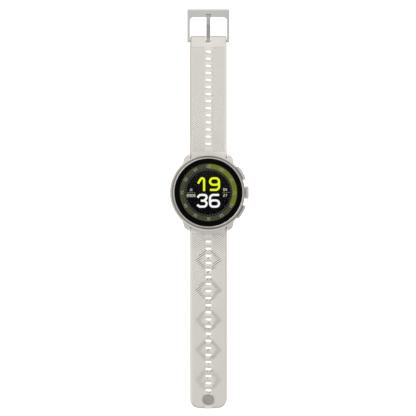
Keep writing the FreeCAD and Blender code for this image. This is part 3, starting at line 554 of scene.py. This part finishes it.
# straps, in millimetres: drawn once towards +Y as (x across, s along), the long one then turned round
strap = {
    "halfWidth": 10.8, "thickness": 2.4, "eyeY": 20.4, "eyeZ": 3.6, "eyeRadius": 1.8,
    "holeFirst": 28.55, "holePitch": 4.13, "slotHalf": (1.62, 0.45), "slotRound": 0.43,
    "openHalf": (1.85, 1.42), "openRound": 0.55, "openShift": (0.22, -0.68), "rampDepth": 1.25,
    "topRound": 1.0, "lowRound": 0.6, "middle": 3.0, "rows": 8, "eyeChamfer": 0.25,
    "tailLift": 2.3, "studY": 120.8, "bendSpan": 7.5, "shortHoles": 14, "longHoles": 22,
}
longTail = {"corner": 5.3, "crown": 0.5, "end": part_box("long_strap_6")[0][1] / -mm}
shortTail = {"corner": 1.2, "halfWidth": 10.6, "stepFrom": 2.2, "stepTo": 3.2, "notchHalf": 1.42,
             "notchFrom": 87.15, "notchRound": 0.5, "end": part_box("short_strap_4")[1][1] / mm}
ribs = {
    "angle": 35.0, "rise": 1.34, "width": 0.64, "height": 0.2, "edge": 9.75, "first": 23.6, "shortLast": 84.6,
    "longLast": 124.95, "studClear": 3.75, "shortestRun": 8, "cutOverlap": 0.3, "nest": 0.03, "step": 0.2,
    "grooveWidth": 0.5, "grooveHeight": 0.09, "shortestGroove": 3,
}
# the motif is a chain of drawn-out diamonds with a smaller diamond inside each, drawn as dark strips between
# the ribs that paint the shade of deeper grooves
motif = {"first": 30.5, "last": 118.0, "length": 17.5, "reach": 7.9, "band": (0.62, 1.0), "core": 0.2}
bendLines = [strap["holeFirst"] + strap["holePitch"] * (1.5 + 4 * k) for k in range(5)]
cellStart = strap["holeFirst"] + strap["openShift"][1] - strap["holePitch"] / 2


def ease(value):
    value = min(1.0, max(0.0, value))
    return value * value * (3 - 2 * value)


def fallen(s):
    # 1 at the eye, 0 where the strap has come down flat
    return 1 - ease((s - strap["eyeY"]) / (bendLines[0] - strap["eyeY"]))


def lifted(s, isLong):
    # the long strap's end rises towards the stud
    rise = (s - bendLines[4]) / (strap["studY"] - bendLines[4])
    return strap["tailLift"] * max(0.0, rise) if isLong else 0.0


def upperAt(s, isLong):
    eyeTop = strap["eyeZ"] + strap["eyeRadius"]
    return strap["thickness"] + (eyeTop - strap["thickness"]) * fallen(s) + lifted(s, isLong)


def underAt(s, isLong):
    return (strap["eyeZ"] - strap["eyeRadius"]) * fallen(s) + lifted(s, isLong)


def roundBoxRay(dx, dy, half, corner):
    # distance from the centre to a round-cornered box along (dx, dy)
    low = 0.0
    high = 4.0
    for _ in range(26):
        middle = (low + high) / 2
        qx = abs(dx * middle) - half[0] + corner
        qy = abs(dy * middle) - half[1] + corner
        outside = math.hypot(max(qx, 0), max(qy, 0)) + min(max(qx, qy), 0) - corner
        if outside > 0:
            high = middle
        else:
            low = middle
    return low


class Skin:
    # gathers points and faces of one strap piece
    def __init__(self):
        self.points = []
        self.faces = []

    def row(self, points):
        first = len(self.points)
        self.points += points
        return list(range(first, first + len(points)))

    def strip(self, rowA, rowB, closed=False):
        count = len(rowA) if closed else len(rowA) - 1
        for k in range(count):
            n = (k + 1) % len(rowA)
            self.faces.append((rowA[k], rowA[n], rowB[n], rowB[k]))


def sideProfile(s, isLong):
    # from the middle block's right edge over the top edge, down and back under
    top = upperAt(s, isLong)
    low = underAt(s, isLong)
    half = strap["halfWidth"]
    r1 = strap["topRound"]
    r2 = strap["lowRound"]
    line = [(strap["middle"] + (half - r1 - strap["middle"]) * k / 5, top) for k in range(6)]
    for k in range(1, 6):
        a = math.radians(90 * k / 5)
        line.append((half - r1 + r1 * math.sin(a), top - r1 + r1 * math.cos(a)))
    for k in range(0, 5):
        a = math.radians(90 * k / 4)
        line.append((half - r2 + r2 * math.cos(a), low + r2 - r2 * math.sin(a)))
    line += [(half - r2 - (half - r2 - strap["middle"]) * k / 4, low) for k in range(1, 5)]
    return line


def stationsBetween(s0, s1):
    step = strap["holePitch"] / strap["rows"]
    count = max(1, round((s1 - s0) / step))
    return [s0 + (s1 - s0) * k / count for k in range(count + 1)]


def addSides(skin, stations, isLong):
    for side in (1, -1):
        rows = [skin.row([(side * x, s, z) for x, z in sideProfile(s, isLong)]) for s in stations]
        for rowA, rowB in zip(rows, rows[1:]):
            skin.strip(rowA, rowB)


def addPlainMiddle(skin, stations, isLong):
    m = strap["middle"]
    columns = [-m + 2 * m * k / strap["rows"] for k in range(strap["rows"] + 1)]
    for level in (upperAt, underAt):
        rows = [skin.row([(x, s, level(s, isLong)) for x in columns]) for s in stations]
        for rowA, rowB in zip(rows, rows[1:]):
            skin.strip(rowA, rowB)


def addHoleCell(skin, s0, isLong):
    # the middle block of one pitch, with its opening, ramp and slot
    rows = strap["rows"]
    m = strap["middle"]
    pitch = strap["holePitch"]
    rim = [(-m + 2 * m * k / rows, 0.0) for k in range(rows)]
    rim += [(m, pitch * k / rows) for k in range(rows)]
    rim += [(m - 2 * m * k / rows, pitch) for k in range(rows)]
    rim += [(-m, pitch - pitch * k / rows) for k in range(rows)]
    shiftX, shiftS = strap["openShift"]
    openCentre = (shiftX, s0 + pitch / 2)
    slotCentre = (0.0, s0 + pitch / 2 - shiftS)
    rings = {"rim": [], "open": [], "lip": [], "slot": []}
    for x, s in rim:
        dx = x - openCentre[0]
        ds = s0 + s - openCentre[1]
        length = math.hypot(dx, ds)
        dx /= length
        ds /= length
        reach = roundBoxRay(dx, ds, strap["openHalf"], strap["openRound"])
        slotReach = roundBoxRay(dx, ds, strap["slotHalf"], strap["slotRound"])
        rings["rim"].append((x, s0 + s))
        rings["open"].append((openCentre[0] + dx * reach, openCentre[1] + ds * reach))
        rings["lip"].append((openCentre[0] + dx * (reach - 0.1), openCentre[1] + ds * (reach - 0.1)))
        rings["slot"].append((slotCentre[0] + dx * slotReach, slotCentre[1] + ds * slotReach))

    def levelRing(ring, depth, level):
        return skin.row([(x, s, level(s, isLong) + depth) for x, s in rings[ring]])

    def blendRing(share, depth):
        mixed = [(a[0] * (1 - share) + b[0] * share, a[1] * (1 - share) + b[1] * share)
                 for a, b in zip(rings["lip"], rings["slot"])]
        return skin.row([(x, s, upperAt(s, isLong) + depth) for x, s in mixed])

    stack = [levelRing("rim", 0, upperAt), levelRing("open", 0, upperAt), levelRing("lip", -0.12, upperAt),
             blendRing(0.5, -strap["rampDepth"] * 0.62), blendRing(1.0, -strap["rampDepth"]),
             levelRing("slot", 0.1, underAt), levelRing("rim", 0, underAt)]
    for ringA, ringB in zip(stack, stack[1:]):
        skin.strip(ringA, ringB, closed=True)


def addEye(skin):
    # the round end that holds the spring bar
    half = strap["halfWidth"]
    m = strap["middle"]
    chamfer = strap["eyeChamfer"]
    columns = [-half, -half + chamfer] + [-m + 2 * m * k / strap["rows"] for k in range(strap["rows"] + 1)]
    columns += [half - chamfer, half]
    rows = []
    for k in range(13):
        a = math.radians(90 + 180 * k / 12)
        ring = []
        for x in columns:
            r = strap["eyeRadius"] - (chamfer if abs(x) == half else 0.0)
            ring.append((x, strap["eyeY"] + r * math.cos(a), strap["eyeZ"] + r * math.sin(a)))
        rows.append(skin.row(ring))
    for rowA, rowB in zip(rows, rows[1:]):
        skin.strip(rowA, rowB)
    for end in (0, -1):
        centre = skin.row([(columns[end], strap["eyeY"], strap["eyeZ"])])[0]
        rim = [row[end] for row in rows]
        for a, b in zip(rim, rim[1:]):
            skin.faces.append((a, b, centre))


def endCap(skin, s, isLong):
    # closes a cut end with one flat face
    side = sideProfile(s, isLong)
    loop = [(x, z) for x, z in side] + [(-x, z) for x, z in reversed(side)]
    ids = skin.row([(x, s, z) for x, z in loop])
    flat = [Vector((x, z, 0)) for x, z in loop]
    for triangle in tessellate_polygon([flat]):
        skin.faces.append(tuple(ids[k] for k in triangle))


def longOutline(s0):
    # plan of the long strap's end as (x, s, edge softness), from the right side round to the left
    half = strap["halfWidth"]
    corner = longTail["corner"]
    crown = longTail["crown"]
    end = longTail["end"]
    flat = half - corner
    points = [(half, s0 + (end - corner - crown - s0) * k / 8, 1.0) for k in range(9)]
    for k in range(1, 13):
        a = math.radians(90 * k / 12)
        points.append((flat + corner * math.cos(a), end - corner - crown * 0.75 + corner * math.sin(a), 1.0))
    for k in range(1, 9):
        x = flat - 2 * flat * k / 8
        points.append((x, end - crown * (x / flat) ** 2 * 0.75, 1.0))
    mirrored = [(-x, s, soft) for x, s, soft in reversed(points)]
    return points + [p for p in mirrored if p[1] < end - corner - crown or p[0] < -flat - 1e-6]


def shortOutline(s0):
    # the short strap's end narrows a little and has a notch for the tongue
    half = strap["halfWidth"]
    corner = shortTail["corner"]
    narrow = shortTail["halfWidth"]
    end = shortTail["end"]
    notch = shortTail["notchHalf"]
    root = shortTail["notchFrom"]
    turn = shortTail["notchRound"]
    points = [(half, s0, 1.0), (half, s0 + shortTail["stepFrom"], 1.0),
              (narrow, s0 + shortTail["stepTo"], 1.0), (narrow, end - corner, 1.0)]
    for k in range(1, 7):
        a = math.radians(90 * k / 6)
        points.append((narrow - corner + corner * math.cos(a), end - corner + corner * math.sin(a), 1.0))
    points += [(notch + turn, end, 1.0), (notch + 0.15, end - 0.05, 0.5), (notch, end - 0.3, 0.3),
               (notch, root + turn, 0.3), (notch - 0.15, root + 0.15, 0.3), (notch - turn, root, 0.3)]
    return points + [(0.0, root, 0.3)] + [(-x, s, soft) for x, s, soft in reversed(points)]


def addTail(skin, s0, isLong):
    outline = longOutline(s0) if isLong else shortOutline(s0)
    count = len(outline)

    def ring(inset, level, depth):
        loop = []
        for k, (x, s, soft) in enumerate(outline):
            before = outline[k - 1] if k > 0 else (x, s - 1, soft)
            after = outline[(k + 1) % count] if k < count - 1 else (x, s - 1, soft)
            tx = after[0] - before[0]
            ts = after[1] - before[1]
            length = math.hypot(tx, ts) or 1.0
            nx = ts / length
            ns = -tx / length
            px = x - nx * inset * soft
            ps = s - ns * inset * soft
            if k in (0, count - 1):
                ps = s0
            loop.append((px, ps, level(ps, isLong) + depth * soft))
        return skin.row(loop)

    rings = []
    for k in range(6):
        a = math.radians(90 * k / 5)
        r = strap["topRound"]
        rings.append(ring(r - r * math.sin(a), upperAt, -r + r * math.cos(a)))
    for k in range(5):
        a = math.radians(90 * k / 4)
        r = strap["lowRound"]
        rings.append(ring(r - r * math.cos(a), underAt, r - r * math.sin(a)))
    for ringA, ringB in zip(rings, rings[1:]):
        skin.strip(ringA, ringB)
    for loop in (rings[0], rings[-1]):
        flat = [Vector((skin.points[k][0], skin.points[k][1], 0)) for k in loop]
        for triangle in tessellate_polygon([flat]):
            skin.faces.append(tuple(loop[k] for k in triangle))


def inOpening(x, s, count, grow):
    k = round((s - strap["holeFirst"] - strap["openShift"][1]) / strap["holePitch"])
    if k < 0 or k >= count:
        return False
    cx = strap["openShift"][0]
    cs = strap["holeFirst"] + strap["openShift"][1] + k * strap["holePitch"]
    return abs(x - cx) < strap["openHalf"][0] + grow and abs(s - cs) < strap["openHalf"][1] + grow * 0.4


def inRibZone(x, s, isLong, count, grow):
    edge = ribs["edge"]
    if abs(x) > edge or s < ribs["first"] or inOpening(x, s, count, grow):
        return False
    if not isLong:
        return s < ribs["shortLast"]
    if math.hypot(x, s - strap["studY"]) < ribs["studClear"] or s > ribs["longLast"]:
        return False
    corner = longTail["corner"] - 1
    if s > ribs["longLast"] - corner and abs(x) > edge - corner:
        return math.hypot(abs(x) - (edge - corner), s - (ribs["longLast"] - corner)) < corner
    return True


def inMotif(x, s):
    if s < motif["first"] or s > motif["last"]:
        return False
    share = abs(((s - motif["first"]) % motif["length"]) / motif["length"] - 0.5) * 2
    reach = abs(x) / motif["reach"] + share
    return motif["band"][0] < reach < motif["band"][1] or reach < motif["core"]


def ribPaths(s0, s1, isLong, count, offset, grow, motifOnly):
    # slanted lines across the strap, broken at openings and at the piece's ends
    slope = math.tan(math.radians(ribs["angle"]))
    rise = ribs["rise"]
    edge = ribs["edge"]
    steps = round(2 * edge / ribs["step"])
    shortest = ribs["shortestGroove"] if motifOnly else ribs["shortestRun"]
    paths = []
    for k in range(math.floor((s0 - edge * slope) / rise), math.ceil((s1 + edge * slope) / rise) + 1):
        run = []
        for j in range(steps + 2):
            x = -edge + j * ribs["step"]
            s = (k + offset) * rise + x * slope
            near = s0 - ribs["cutOverlap"] <= s <= s1 + ribs["cutOverlap"]
            inside = j <= steps and near and inRibZone(x, s, isLong, count, grow)
            if inside and (not motifOnly or inMotif(x, s)):
                run.append((x, s))
                continue
            touchesCut = run and (min(p[1] for p in run) < s0 + 1 or max(p[1] for p in run) > s1 - 1)
            if len(run) > (1 if touchesCut else shortest):
                keep = run[::5] + ([run[-1]] if (len(run) - 1) % 5 else [])
                paths.append([(px, ps, upperAt(ps, isLong)) for px, ps in keep])
            run = []
    return paths


def makeStrapPiece(name, s0, s1, isLong, holes, odd):
    # one stretch of strap between two cuts, with its openings, ribs and grooves
    skin = Skin()
    isRoot = s0 < cellStart
    start = cellStart if isRoot else s0
    tailFrom = cellStart + holes * strap["holePitch"]
    end = min(s1, tailFrom)
    if isRoot:
        root = stationsBetween(strap["eyeY"], cellStart)
        addEye(skin)
        addSides(skin, root, isLong)
        addPlainMiddle(skin, root, isLong)
    else:
        endCap(skin, s0, isLong)
    addSides(skin, stationsBetween(start, end), isLong)
    for k in range(round((end - start) / strap["holePitch"])):
        addHoleCell(skin, start + k * strap["holePitch"], isLong)
    if s1 > tailFrom:
        addTail(skin, tailFrom, isLong)
    else:
        endCap(skin, end, isLong)
    turn = -1 if isLong else 1
    points = [(turn * x, turn * y, z) for x, y, z in skin.points]
    pieces = [meshObject(name + " base", points, skin.faces, siliconeBedShaded)]
    # ribs of neighbouring pieces nest where they meet at a cut, so that no faces coincide
    nest = ribs["nest"] if odd else 0.0
    layers = [("ribs", 0.0, 0.3, False, ribs["width"] + nest, ribs["height"] + nest, 6, silicone)]
    # on the long strap, dark strips between the ribs paint the shade of deeper grooves along the motif
    if isLong:
        layers.append(("grooves", 0.5, 0.2, True, ribs["grooveWidth"] + nest, ribs["grooveHeight"] + nest, 4,
                       siliconeGrooveShade))
    for label, offset, grow, motifOnly, width, height, sides, finish in layers:
        paths = ribPaths(0 if isRoot else s0, s1, isLong, holes, offset, grow, motifOnly)
        paths = placed(paths, lambda x, y, z: (turn * x, turn * y, z))
        if paths:
            pieces.append(barsAlong(name + " " + label, paths, width, height, sides, 0.0, finish, 75.0))
    return joinPieces(name, pieces)


def makeStraps():
    # each piece is cut from the next four openings on; the span round its bend line is worked out but not
    # applied
    for isLong, label, joints in ((False, "short", 3), (True, "long", 5)):
        turn = -1 if isLong else 1
        holes = strap[label + "Holes"]
        cuts = [cellStart + strap["holePitch"] * (4 + 4 * k) for k in range(joints - 1)]
        bounds = [0] + cuts + [longTail["end"] + 1]
        for k in range(joints):
            name = label + "_strap_skin_" + str(k + 1)
            piece = makeStrapPiece(name, bounds[k], bounds[k + 1], isLong, holes, k % 2)
            span = strap["bendSpan"]
            start = (0, turn * (bendLines[k] - span) * mm, 0)
            end = (0, turn * (bendLines[k] + span) * mm, 0)
            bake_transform(piece)
            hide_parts(label + "_strap_" + str(k + 1))
            if k == joints - 1:
                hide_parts(label + "_strap_" + str(k + 2))
            print(name, len(piece.data.polygons), "faces")


makeStraps()


# what the display shows, in millimetres, with clock angles in degrees
screen = {
    "level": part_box("display_panel")[1][2] / mm + 0.03, "thick": 0.05,
    "ring": (13.95, 16.7), "litTo": 118.0, "numeralHeight": 1.45, "numeralWidth": 0.78, "numeralGap": 0.42,
    "numeralStroke": 0.2, "numeralRound": 0.22, "numeralLift": 0.03,
    "tickInner": 12.85, "tickOuter": 13.75, "tickCount": 90, "tickWidth": 0.25,
    "bigStroke": 1.24, "bigRound": 1.9,
    "counts": (("8908", (-10.1, -1.7), 0.78), ("04", (9.8, 1.7), 0.8), ("27", (9.8, -1.7), 0.8)),
    "countHeight": 1.5, "countGap": 0.5, "countStroke": 0.16, "countRound": 0.18,
    "chevron": ((-10.75, 1.45), (-10.05, 2.15), (-9.35, 1.45)), "chevronRises": (-0.55, 0.25),
    "rules": ((-12.5, -7.6), (8.0, 12.4)), "ruleStroke": 0.24,
}
litYellow = makeLit("lit yellow green", tone(236, 255, 12))
litWhite = makeLit("lit white", tone(250, 250, 250))
litGrey = makeLit("lit grey", tone(158, 158, 148))
litTick = makeLit("lit tick grey", tone(98, 98, 106))
litOlive = makeLit("lit olive", tone(112, 118, 40), 15.3)
dimOlive = makeLit("dim olive", tone(70, 72, 50), 15.3)
litLine = makeLit("lit olive line", tone(120, 125, 20))

# strokes in a box 0..1 wide and 0..1 high; "loop" closes a stroke
strokes = {
    "0": [("loop", [(0, 0), (1, 0), (1, 1), (0, 1)])],
    "1": [[(0.25, 0.75), (0.6, 1), (0.6, 0)]],
    "2": [[(0, 1), (1, 1), (1, 0.5), (0, 0.5), (0, 0), (1, 0)]],
    "3": [[(0, 1), (1, 1), (1, 0), (0, 0)], [(0.3, 0.52), (1, 0.52)]],
    "4": [[(0, 1), (0, 0.35), (1, 0.35)], [(0.75, 1), (0.75, 0)]],
    "5": [[(1, 1), (0, 1), (0, 0.55), (1, 0.55), (1, 0), (0, 0)]],
    "6": [[(1, 1), (0, 1), (0, 0), (1, 0), (1, 0.52), (0, 0.52)]],
    "7": [[(0, 1), (1, 1), (0.35, 0)]],
    "8": [("loop", [(0, 0), (1, 0), (1, 1), (0, 1)]), [(0, 0.5), (1, 0.5)]],
    "9": [[(0, 0), (1, 0), (1, 1), (0, 1), (0, 0.48), (1, 0.48)]],
}
# the large figures of the time, as (x, y) strokes in millimetres
hourStrokes = [[(-6.05, 5.25), (-4.25, 8.35), (-2.5, 8.35), (-2.5, 0.88)],
               ("loop", [(0.95, 4.55), (0.95, 8.35), (6.2, 8.35), (6.2, 4.55)]),
               [(6.2, 6.2), (6.2, 1.58), (0.95, 1.58)]]
minuteStrokes = [[(-6.3, -2.9), (-5.1, -1.38), (-1.05, -1.38), (-1.05, -3.3), (-2.5, -4.75)],
                 [(-4.4, -4.75), (-1.05, -4.75), (-1.05, -8.2), (-5.6, -8.2), (-6.35, -7.0)],
                 [(6.25, -1.38), (0.95, -1.38), (0.95, -6.2)],
                 ("loop", [(0.95, -4.55), (6.2, -4.55), (6.2, -8.2), (0.95, -8.2)])]


def writeText(text, centre, height, width, gap, turn=0.0):
    # stroke paths for a line of figures about a centre, turned by degrees
    advance = width + gap
    total = advance * len(text) - gap
    cosine = math.cos(math.radians(turn))
    sine = math.sin(math.radians(turn))
    paths = []
    for index, figure in enumerate(text):
        def onScreen(u, v):
            x = -total / 2 + index * advance + u * width
            y = (v - 0.5) * height
            return centre[0] + x * cosine - y * sine, centre[1] + x * sine + y * cosine, screen["level"]
        paths += placed(strokes[figure], onScreen)
    return paths


def ringSector(name, start, stop, profile, finish):
    # a section of (radius, height) points swept between two clock angles, clockwise from 12
    steps = max(6, int((stop - start) / 2))
    skin = Skin()
    rows = []
    for k in range(steps + 1):
        a = math.radians(90 - (start + (stop - start) * k / steps))
        rows.append(skin.row([(r * math.cos(a), r * math.sin(a), z) for r, z in profile]))
    for rowA, rowB in zip(rows, rows[1:]):
        skin.strip(rowA, rowB, closed=True)
    skin.faces += [tuple(rows[0]), tuple(reversed(rows[-1]))]
    return meshObject(name, skin.points, skin.faces, finish)


def makeScreenArt():
    thick = screen["thick"]
    level = screen["level"]

    def flat(x, y):
        return x, y, level

    art = [barsAlong("hour_digits", placed(hourStrokes, flat), screen["bigStroke"], thick, 4,
                     screen["bigRound"], litYellow),
           barsAlong("minute_digits", placed(minuteStrokes, flat), screen["bigStroke"], thick, 4,
                     screen["bigRound"], litWhite)]
    inner, outer = screen["ring"]
    low = level - thick / 2
    high = level + thick / 2 - 0.01
    band = ((inner, low), (inner, high), (outer, high), (outer, low))
    art.append(ringSector("seconds_ring_lit", 0, screen["litTo"], band, litOlive))
    art.append(ringSector("seconds_ring_dim", screen["litTo"], 360, band, dimOlive))
    numerals = []
    for k in range(1, 13):
        clock = 30 * k
        a = math.radians(90 - clock)
        middle = ((inner + outer) / 2 * math.cos(a), (inner + outer) / 2 * math.sin(a))
        turn = -clock if clock <= 90 or clock >= 270 else 180 - clock
        numerals += writeText("%02d" % (5 * k), middle, screen["numeralHeight"], screen["numeralWidth"],
                              screen["numeralGap"], turn)
    numerals = placed(numerals, lambda x, y, z: (x, y, z + screen["numeralLift"]))
    art.append(barsAlong("ring_numerals", numerals, screen["numeralStroke"], thick, 4, screen["numeralRound"],
                         litGrey))
    ticks = []
    for k in range(screen["tickCount"]):
        a = 2 * math.pi * k / screen["tickCount"]
        ticks.append([(r * math.cos(a), r * math.sin(a), level)
                      for r in (screen["tickInner"], screen["tickOuter"])])
    art.append(barsAlong("minute_ticks", ticks, screen["tickWidth"], thick, 4, 0.0, litTick))
    small = []
    for text, centre, width in screen["counts"]:
        small += writeText(text, centre, screen["countHeight"], width, screen["countGap"])
    # two plain chevrons stand above the count
    small += [[(x, y + rise, level) for x, y in screen["chevron"]] for rise in screen["chevronRises"]]
    art.append(barsAlong("side_texts", small, screen["countStroke"], thick, 4, screen["countRound"],
                         litWhite))
    rules = [[(left, 0, level), (right, 0, level)] for left, right in screen["rules"]]
    art.append(barsAlong("side_rules", rules, screen["ruleStroke"], thick, 4, 0.0, litLine))
    for piece in art:
        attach(piece, "case")
    print("display drawn in", len(art), "pieces")


makeScreenArt()


# a lip of the case closes the view down past each pusher
guard = {"start": 20.3, "stop": 43.6, "inner": 21.0, "outer": 22.35, "low": 2.5, "high": 3.3, "edge": 0.2}


def makeGuards():
    inner, outer, low, high, edge = (guard[key] for key in ("inner", "outer", "low", "high", "edge"))
    section = ((inner, low), (inner, high), (outer - edge, high), (outer, high - edge),
               (outer, low + edge), (outer - edge, low))
    for name, start, stop in (("upper", 90 - guard["stop"], 90 - guard["start"]),
                              ("lower", 90 + guard["start"], 90 + guard["stop"])):
        lip = ringSector(name + "_pusher_guard", start, stop, section, casePolymer)
        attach(lip, "case")


makeGuards()
print("pusher guards made")


# floor sizes in millimetres, the rest in metres and watts
studio = {
    "floorLevel": -115, "floorHalf": 2500, "floorTone": 0.8, "floorGlow": 0.75, "worldGlow": 0.62,
    "lights": {"key light": {"place": (-0.45, 0.55, 0.75), "size": 0.5, "power": 4.6},
               "fill light": {"place": (0.6, -0.35, 0.6), "size": 0.6, "power": 2.2}},
    "cameraPlace": (-0.00023, -0.009, 0.6), "frameWidth": 0.24257,
}


def makeStage():
    # low enough for a curled strap to stay above it
    half = studio["floorHalf"]
    square = ((-half, -half), (half, -half), (half, half), (-half, half))
    corners = [(x, y, studio["floorLevel"]) for x, y in square]
    finish = Finish("pale floor", colour=(studio["floorTone"],) * 3, roughness=0.9, glow=(1, 1, 1),
                    glowStrength=studio["floorGlow"])
    meshObject("floor", corners, [(0, 1, 2, 3)], finish.material)
    world = bpy.data.worlds.new("soft studio")
    world.use_nodes = True
    back = world.node_tree.nodes["Background"]
    back.inputs["Color"].default_value = (1, 1, 1, 1)
    back.inputs["Strength"].default_value = studio["worldGlow"]
    bpy.context.scene.world = world


def makeLight(name, place, size, power):
    lamp = bpy.data.lights.new(name, "AREA")
    lamp.shape = "DISK"
    lamp.size = size
    lamp.energy = power
    holder = linkedObject(name, lamp)
    holder.location = place
    holder.rotation_euler = (-Vector(place)).to_track_quat("-Z", "Y").to_euler()


def makeCamera():
    # straight down, without perspective
    lens = bpy.data.cameras.new("camera")
    lens.type = "ORTHO"
    lens.ortho_scale = studio["frameWidth"]
    holder = linkedObject("camera", lens)
    holder.location = studio["cameraPlace"]
    bpy.context.scene.camera = holder


makeStage()
for name, lamp in studio["lights"].items():
    makeLight(name, **lamp)
makeCamera()
bpy.context.scene.view_settings.view_transform = "Standard"
print("floor, lights and camera set")
